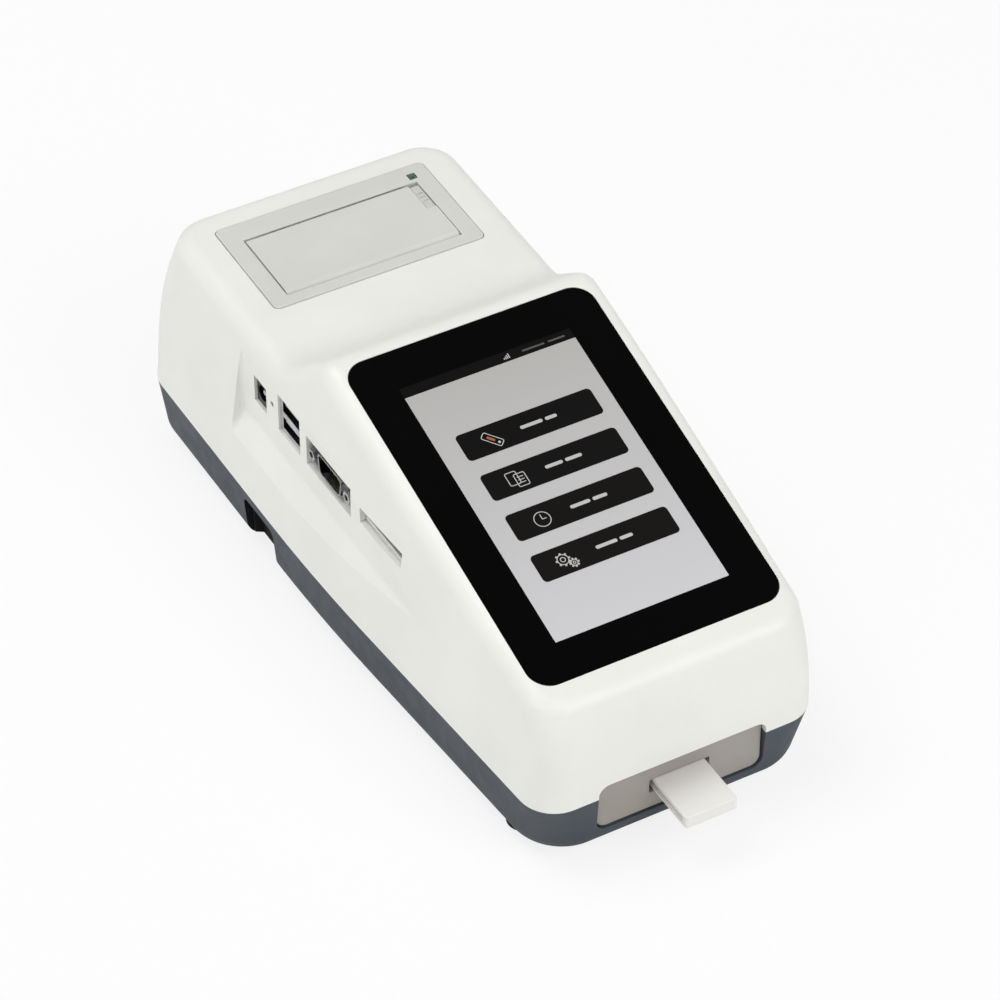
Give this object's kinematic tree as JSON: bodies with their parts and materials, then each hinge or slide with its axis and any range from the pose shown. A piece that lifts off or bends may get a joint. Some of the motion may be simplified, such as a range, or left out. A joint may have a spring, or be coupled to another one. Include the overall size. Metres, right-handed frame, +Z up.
{
  "type": "rapid test reader",
  "caption": "Bench reader for rapid test cards: tilted display, motor-driven card tray at the front, receipt printer with hinged lid behind, ports on the left side.",
  "frame": {"origin": "centre of the whole outline at rest, on the plane the feet stand on", "axes": "+X to the user's right, -Y towards the user and the tray slot, +Z up"},
  "size_m": [0.1258, 0.2894, 0.1074],
  "materials": {
    "white_shell": "light satin moulded plastic",
    "grey_shell": "fine textured blue-grey plastic",
    "warm_grey": "satin warm grey plastic",
    "black_rubber": "soft matt rubber",
    "steel": "zinc plated",
    "screen_glass": "gloss black printed cover glass",
    "display_module": "back-lit display panel",
    "steel_sheet": "bare pressed sheet",
    "circuit_board": "green solder mask",
    "flat_cable": "flat white cable",
    "cover_grey": "satin moulded plastic",
    "roller_rubber": "ground roller rubber",
    "gear_plastic": "natural acetal",
    "motor_steel": "drawn can",
    "heat_sink": "extruded",
    "latch_grey": "moulded plastic",
    "lamp_green": "tinted light pipe",
    "tray_plastic": "satin moulded plastic",
    "black_plastic": "glass filled black plastic",
    "clear_glass": "polished",
    "lamp_clear": "clear epoxy",
    "chip_black": "moulded packages",
    "port_black": "moulded black plastic",
    "battery_wrap": "shrink sleeve"
  },
  "bodies": {
    "casing": {"upper_housing": "white_shell", "lower_housing": "grey_shell", "front_bezel": "warm_grey", "grip_liners": "black_rubber", "rubber_feet": "black_rubber", "housing_screws": "steel", "cover_glass": "screen_glass", "lcd_panel": "display_module", "display_frame": "steel_sheet", "display_board": "circuit_board", "display_screws": "steel", "display_ribbon": "flat_cable", "printer_frame": "cover_grey", "lid_hinge_pin": "steel", "printer_motor": "motor_steel", "print_head": "heat_sink", "head_springs": "steel", "tear_bar": "steel", "latch_spring": "steel", "status_lamp": "lamp_green", "cover_screws": "steel", "motor_bracket": "steel_sheet", "tray_motor": "motor_steel", "guide_rod": "steel", "tray_bed": "black_plastic", "bed_screws": "steel", "home_switch": "black_plastic", "optical_housing": "black_plastic", "optical_filter": "clear_glass", "collecting_lens": "clear_glass", "excitation_lamp": "lamp_clear", "detector_board": "circuit_board", "optical_screws": "steel", "main_board": "circuit_board", "board_parts": "chip_black", "board_screws": "steel", "port_board": "circuit_board", "port_screws": "steel", "dc_jack": "port_black", "usb_socket": "steel_sheet", "serial_socket": "steel_sheet", "jack_screws": "steel", "card_socket": "steel_sheet", "charge_lamp": "lamp_clear", "port_ribbon": "flat_cable", "battery_pack": "battery_wrap", "battery_strap": "steel_sheet", "strap_screws": "steel", "power_switch": "port_black"},
    "tray": {"cassette_tray": "tray_plastic", "tray_rack": "gear_plastic"},
    "tray_pinion": {"drive_pinion": "gear_plastic"},
    "lid": {"printer_lid": "cover_grey"},
    "platen": {"platen_roller": "roller_rubber", "platen_gear": "gear_plastic"},
    "idler": {"idler_gear": "gear_plastic"},
    "printer_pinion": {"motor_pinion": "gear_plastic"},
    "latch": {"lid_latch": "latch_grey"},
    "rocker": {"power_rocker": "port_black"}
  },
  "joints": [
    {"name": "tray_slide", "type": "slide", "parent": "casing", "child": "tray", "axis": [0, -1, 0], "range_m": [-0.0175, 0.0805]},
    {"name": "pinion_spin", "type": "hinge", "parent": "casing", "child": "tray_pinion", "pos_m": [0.023, -0.01345, 0.0208], "axis": [0, 0, 1], "range_deg": [-128, 580]},
    {"name": "lid_hinge", "type": "hinge", "parent": "casing", "child": "lid", "pos_m": [0, 0.0856, 0.0868], "axis": [1, 0, 0], "range_deg": [0, 95]},
    {"name": "platen_spin", "type": "hinge", "parent": "lid", "child": "platen", "pos_m": [0, 0.10733, 0.08195], "axis": [1, 0, 0], "continuous": true},
    {"name": "idler_spin", "type": "hinge", "parent": "casing", "child": "idler", "pos_m": [-0.031, 0.10383, 0.07152], "axis": [1, 0, 0], "continuous": true},
    {"name": "printer_pinion_spin", "type": "hinge", "parent": "casing", "child": "printer_pinion", "pos_m": [-0.031, 0.10406, 0.06252], "axis": [1, 0, 0], "continuous": true},
    {"name": "latch_press", "type": "slide", "parent": "casing", "child": "latch", "axis": [0, 0.0253, -0.9997], "range_m": [0, 0.0015], "stiffness_N_per_m": 400, "springref_m": -0.001, "deforming": ["latch_spring"]},
    {"name": "rocker_tilt", "type": "hinge", "parent": "casing", "child": "rocker", "pos_m": [-0.026, 0.14095, 0.048], "axis": [0, 0, 1], "range_deg": [0, 16]}
  ],
  "couplings": [
    {"joint": "pinion_spin", "follows": "tray_slide", "rad_per_m": 125},
    {"joint": "idler_spin", "follows": "platen_spin", "ratio": -0.83333},
    {"joint": "printer_pinion_spin", "follows": "platen_spin", "ratio": 1.6667}
  ]
}
